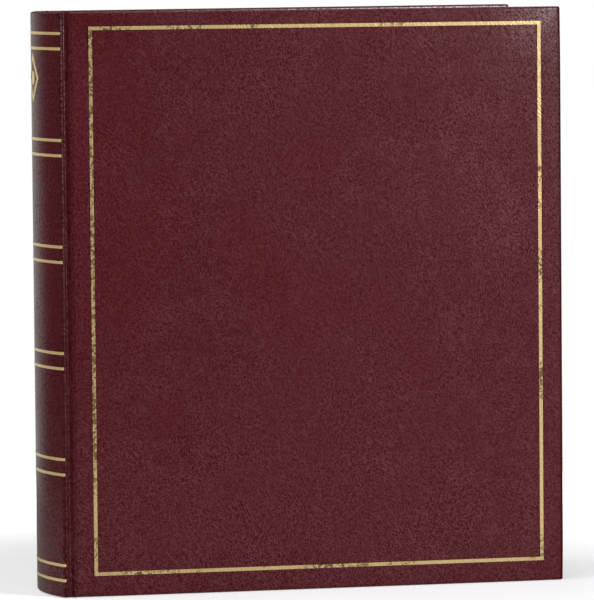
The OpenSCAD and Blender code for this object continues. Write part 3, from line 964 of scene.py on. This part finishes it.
def make_groove(side, hinge, inwards, open_by):
    """The creased skin between the spine and a cover, bent to the angle at which the cover stands open.
    inwards is 1 where the leaves lie towards +Y from the hinge, and -1 where they lie towards -Y."""
    spine = sizes("album_spine")
    height = SPINE_HI.z - SPINE_LO.z
    half = (COVER_LO.x - SPINE_HI.x) / 2
    bm = bmesh.new()
    verts = [bm.verts.new((across / 1000, deep / 1000, 0)) for across, deep in GROOVE_LINE]
    edges = [bm.edges.new(pair) for pair in zip(verts, verts[1:])]
    bmesh.ops.subdivide_edges(bm, edges=edges, cuts=2)
    row = bm.edges[:]
    for _ in range(GROOVE_ROWS):
        made = bmesh.ops.extrude_edge_only(bm, edges=row)["geom"]
        lifted = [g for g in made if isinstance(g, bmesh.types.BMVert)]
        row = [g for g in made if isinstance(g, bmesh.types.BMEdge)]
        row = [e for e in row if all(v in lifted for v in e.verts)]
        bmesh.ops.translate(bm, vec=(0, 0, height / GROOVE_ROWS), verts=lifted)
    for v in bm.verts:
        ends = min(v.co.z, height - v.co.z)
        v.co.y += END_DRAW * max(0.0, 1 - ends / END_REACH) ** 2
    skin = bmesh.ops.extrude_face_region(bm, geom=list(bm.faces), use_keep_orig=True)["geom"]
    inner = [g for g in skin if isinstance(g, bmesh.types.BMVert)]
    bmesh.ops.translate(bm, vec=(0, spine.groove_skin, 0), verts=inner)
    for v in bm.verts:
        t = max(0.0, min(1.0, (v.co.x + half) / (2 * half)))
        arm = Vector((v.co.x, v.co.y * inwards, v.co.z))
        arm.rotate(Matrix.Rotation(open_by * t * t * (3 - 2 * t), 3, "Z"))
        v.co = Vector((hinge.x + arm.x, hinge.y + arm.y, SPINE_LO.z + v.co.z))
    bmesh.ops.recalc_face_normals(bm, faces=bm.faces)
    groove = new_piece(bm, f"{side}_groove", groove_leatherette())
    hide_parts(f"{side}_joint")
    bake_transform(groove)


# ---------------- leaves


def make_hinge_linen(body):
    """A leaf's linen hinge between its bound stub and its card, cut across in strips about its hinge."""
    node = f"{body}_linen"
    pivot = Vector(JOINTS[f"{body}_hinge"]["pos_m"])
    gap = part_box(f"{body}_card")[0].x - pivot.x
    bm = bmesh.new()
    bm.from_mesh(frame["nodes"][node].data)
    bmesh.ops.remove_doubles(bm, verts=bm.verts, dist=1e-6)
    bmesh.ops.dissolve_limit(bm, angle_limit=math.radians(1), verts=bm.verts, edges=bm.edges)
    slice_across(bm, 0, [pivot.x + gap * k / 4 for k in range(-4, 5)])
    bmesh.ops.recalc_face_normals(bm, faces=bm.faces)
    linen = new_piece(bm, f"{body}_hinge_linen", hinge_linen())
    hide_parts(node)
    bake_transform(linen)


def finish_nodes(material, *names):
    """Gives solid pieces their finish."""
    for name in names:
        mesh = frame["nodes"][name].data
        mesh.materials.clear()
        mesh.materials.append(material)


# ---------------- studio


def make_camera():
    """A long lens, a little above the album and to its spine's side."""
    studio = sizes("album_studio")
    data = bpy.data.cameras.new("camera")
    data.lens = studio.lens
    data.sensor_width = 36
    camera = new_object("camera", data)
    yaw, pitch, roll = studio.yaw, studio.pitch, studio.roll
    ahead = Vector(
        (math.sin(yaw) * math.cos(pitch), math.cos(yaw) * math.cos(pitch), -math.sin(pitch))
    )
    right = Vector((math.cos(yaw), -math.sin(yaw), 0))
    up = right.cross(ahead)
    side = right * math.cos(roll) + up * math.sin(roll)
    top = up * math.cos(roll) - right * math.sin(roll)
    turn = Matrix((side, top, -ahead)).transposed()
    camera.matrix_world = Matrix.Translation(Vector(studio.camera)) @ turn.to_4x4()
    bpy.context.scene.camera = camera


LIGHT_AIM = Vector((0, 0, 0.17))


def soft_light(name, place, width, power, tint):
    """A square soft box, so many metres wide and watts strong, that faces the album's middle."""
    data = bpy.data.lights.new(name, "AREA")
    data.shape = "SQUARE"
    data.size = width
    data.energy = power
    data.color = tint
    lamp = new_object(name, data)
    lamp.location = place
    lamp.rotation_euler = (LIGHT_AIM - Vector(place)).to_track_quat("-Z", "Y").to_euler()


# Where the studio's pale cloths stand in reflections: from one value of a direction's X, Y or Z
# to another, with their brightness at each
CLOTH_BEHIND = (0.74, 1.0, 0.03, 0.57)
CLOTH_IN_FRONT = (-0.95, -0.85, 1.0, 0.0)
CLOTH_TO_THE_RIGHT = (0.23, 0.42, 0.0, 1.48)
CLOTH_ABOVE = (0.6, 0.95, 0.0, 1.6)


def make_world():
    """White to the camera, plain light on the album and pale cloths round it in reflections."""
    world = bpy.data.worlds.new("studio")
    world.cycles.sampling_method = "NONE"
    bpy.context.scene.world = world
    nodes = emptied(world)
    ways = nodes.split(nodes.add("ShaderNodeTexCoord").outputs["Generated"])
    behind = nodes.ramp(ways[1], *CLOTH_BEHIND)
    facing = nodes.ramp(ways[1], *CLOTH_IN_FRONT)
    facing = nodes.times(facing, nodes.ramp(ways[0], *CLOTH_TO_THE_RIGHT))
    above = nodes.ramp(ways[2], *CLOTH_ABOVE)
    cloth = nodes.maths("MAXIMUM", nodes.maths("MAXIMUM", behind, above), facing)
    path = nodes.add("ShaderNodeLightPath").outputs
    studio = sizes("album_studio")
    side = nodes.times(ways[0], -studio.lean * studio.ambient, studio.ambient)
    ambient = nodes.maths("MAXIMUM", side, 0.0)
    seen = nodes.maths("ADD", path["Is Camera Ray"], path["Is Transmission Ray"], clamp=True)
    glossy = nodes.times(path["Is Glossy Ray"], nodes.less(cloth, ambient))
    plain = nodes.maths("ADD", glossy, ambient)
    rest = nodes.times(nodes.less(1.0, plain), seen)
    strength = nodes.maths("ADD", plain, rest)
    light = nodes.add("ShaderNodeBackground", {"Color": (1, 1, 1), "Strength": strength})
    nodes.add("ShaderNodeOutputWorld", {"Surface": light.outputs[0]})


# From the floor's middle, where its own glow starts to rise and where it is white, and the glow at each
FLOOR_GLOW = (0.18, 0.50, 0.36, 1.0)
FLOOR_GAP = 0.0002


def make_floor():
    """A white floor that keeps the album's soft shadow."""
    material = bpy.data.materials.new("white_floor")
    nodes = emptied(material)
    path = nodes.add("ShaderNodeLightPath").outputs
    white = nodes.mix(path["Is Glossy Ray"], (0.9, 0.9, 0.9), (0.55, 0.55, 0.55))
    paint = nodes.add("ShaderNodeBsdfDiffuse", {"Color": white})
    place = nodes.add("ShaderNodeTexCoord").outputs["Object"]
    away = nodes.add("ShaderNodeVectorMath", {"Vector": place}, operation="LENGTH").outputs["Value"]
    strength = nodes.times(path["Is Camera Ray"], nodes.ramp(away, *FLOOR_GLOW))
    glow = nodes.add("ShaderNodeEmission", {"Color": (1, 1, 1), "Strength": strength})
    both = nodes.add("ShaderNodeAddShader")
    for shader, socket in zip((paint, glow), both.inputs):
        nodes.put(shader.outputs[0], socket)
    nodes.add("ShaderNodeOutputMaterial", {"Surface": both.outputs[0]})
    bm = bmesh.new()
    reach = sizes("album_studio").floor
    bmesh.ops.create_circle(bm, cap_ends=True, cap_tris=True, segments=96, radius=reach)
    bmesh.ops.translate(bm, vec=(0, 0, -FLOOR_GAP), verts=bm.verts)
    floor = new_object("floor", new_mesh(bm, "floor", material))


# ---------------- operators


class AlbumOperator:
    """What the album's operators share."""

    bl_options = {"REGISTER", "UNDO"}


class ALBUM_OT_front_cover(AlbumOperator, bpy.types.Operator):
    """Makes the front cover's covering, padding and pleats"""

    bl_idname = "album.front_cover"
    bl_label = "Front Cover"

    def execute(self, context):
        make_cover("front", in_front)
        return {"FINISHED"}


class ALBUM_OT_back_cover(AlbumOperator, bpy.types.Operator):
    """Makes the back cover's covering, padding and pleats"""

    bl_idname = "album.back_cover"
    bl_label = "Back Cover"

    def execute(self, context):
        make_cover("back", on_back)
        return {"FINISHED"}


class ALBUM_OT_spine(AlbumOperator, bpy.types.Operator):
    """Makes the rounded spine's covering"""

    bl_idname = "album.spine"
    bl_label = "Spine"

    def execute(self, context):
        make_spine()
        return {"FINISHED"}


class ALBUM_OT_grooves(AlbumOperator, bpy.types.Operator):
    """Makes the creased skins between the spine and the covers"""

    bl_idname = "album.grooves"
    bl_label = "Grooves"

    def execute(self, context):
        make_groove("front", FRONT_HINGE, 1, 0)
        make_groove("back", BACK_HINGE, -1, BACK_OPEN)
        return {"FINISHED"}


class ALBUM_OT_blocking(AlbumOperator, bpy.types.Operator):
    """Finishes the gold frame, the spine's lines and its lozenge"""

    bl_idname = "album.blocking"
    bl_label = "Gold Blocking"

    def execute(self, context):
        finish_nodes(gold_foil(), "front_gold_frame", "spine_gold_lines", "spine_lozenge")
        return {"FINISHED"}


class ALBUM_OT_boards(AlbumOperator, bpy.types.Operator):
    """Finishes the boards, the endpapers and the spine's lining"""

    bl_idname = "album.boards"
    bl_label = "Boards and Papers"

    def execute(self, context):
        finish_nodes(greyboard(), "front_board", "back_board", "spine_board")
        finish_nodes(endpaper(), "front_endpaper", "back_endpaper")
        finish_nodes(lining_cloth(), "spine_lining")
        return {"FINISHED"}


class ALBUM_OT_binding(AlbumOperator, bpy.types.Operator):
    """Finishes the channel, the clamp bars, the posts and their screws"""

    bl_idname = "album.binding"
    bl_label = "Binding"

    def execute(self, context):
        finish_nodes(channel_steel(), "binding_channel")
        finish_nodes(clamp_aluminium(), "front_clamp_bar", "back_clamp_bar")
        finish_nodes(post_brass(), "binding_posts", "post_screws")
        finish_nodes(spacer_board(), "spacer_strips")
        return {"FINISHED"}


class ALBUM_OT_leaves(AlbumOperator, bpy.types.Operator):
    """Makes the hinge linens and finishes the leaves, their strips and their stubs"""

    bl_idname = "album.leaves"
    bl_label = "Leaves"

    def execute(self, context):
        finish_nodes(leaf_card(), "leaf_stubs", *[f"{body}_card" for body in LEAVES])
        finish_nodes(clear_film(), *[f"{body}_strips" for body in LEAVES])
        for body in LEAVES:
            make_hinge_linen(body)
        return {"FINISHED"}


class ALBUM_OT_studio(AlbumOperator, bpy.types.Operator):
    """Makes the floor, the lights and the camera"""

    bl_idname = "album.studio"
    bl_label = "Studio"

    def execute(self, context):
        studio = sizes("album_studio")
        context.scene.view_settings.view_transform = "Standard"
        make_world()
        make_floor()
        soft_light("key", (1.10, -1.40, 0.60), 0.36, studio.key, tint=(0.97, 0.96, 1.0))
        soft_light("fill", (-1.6, -2.2, 1.1), 1.4, studio.fill, tint=(1.0, 1.0, 1.0))
        make_camera()
        return {"FINISHED"}


class ALBUM_PT_panel(bpy.types.Panel):
    """Lists the album's pieces"""

    bl_idname = "ALBUM_PT_panel"
    bl_label = "Stamp Album"
    bl_space_type = "VIEW_3D"
    bl_region_type = "UI"
    bl_category = "Album"

    def draw(self, context):
        for operator in OPERATORS:
            self.layout.operator(operator.bl_idname)


OPERATORS = (
    ALBUM_OT_front_cover,
    ALBUM_OT_back_cover,
    ALBUM_OT_spine,
    ALBUM_OT_grooves,
    ALBUM_OT_blocking,
    ALBUM_OT_boards,
    ALBUM_OT_binding,
    ALBUM_OT_leaves,
    ALBUM_OT_studio,
)
CLASSES = (*SETTINGS.values(), *OPERATORS, ALBUM_PT_panel)


def register():
    """Registers the settings, the operators and the panel."""
    for kind in CLASSES:
        bpy.utils.register_class(kind)
    for name, kind in SETTINGS.items():
        setattr(bpy.types.Scene, name, PointerProperty(type=kind))


def unregister():
    """Takes away what register added."""
    for name in SETTINGS:
        delattr(bpy.types.Scene, name)
    for kind in reversed(CLASSES):
        bpy.utils.unregister_class(kind)


def main():
    """Makes every piece and the studio."""
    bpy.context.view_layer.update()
    register()
    for operator in OPERATORS:
        kind, name = operator.bl_idname.split(".")
        getattr(getattr(bpy.ops, kind), name)()


if __name__ == "__main__":
    main()
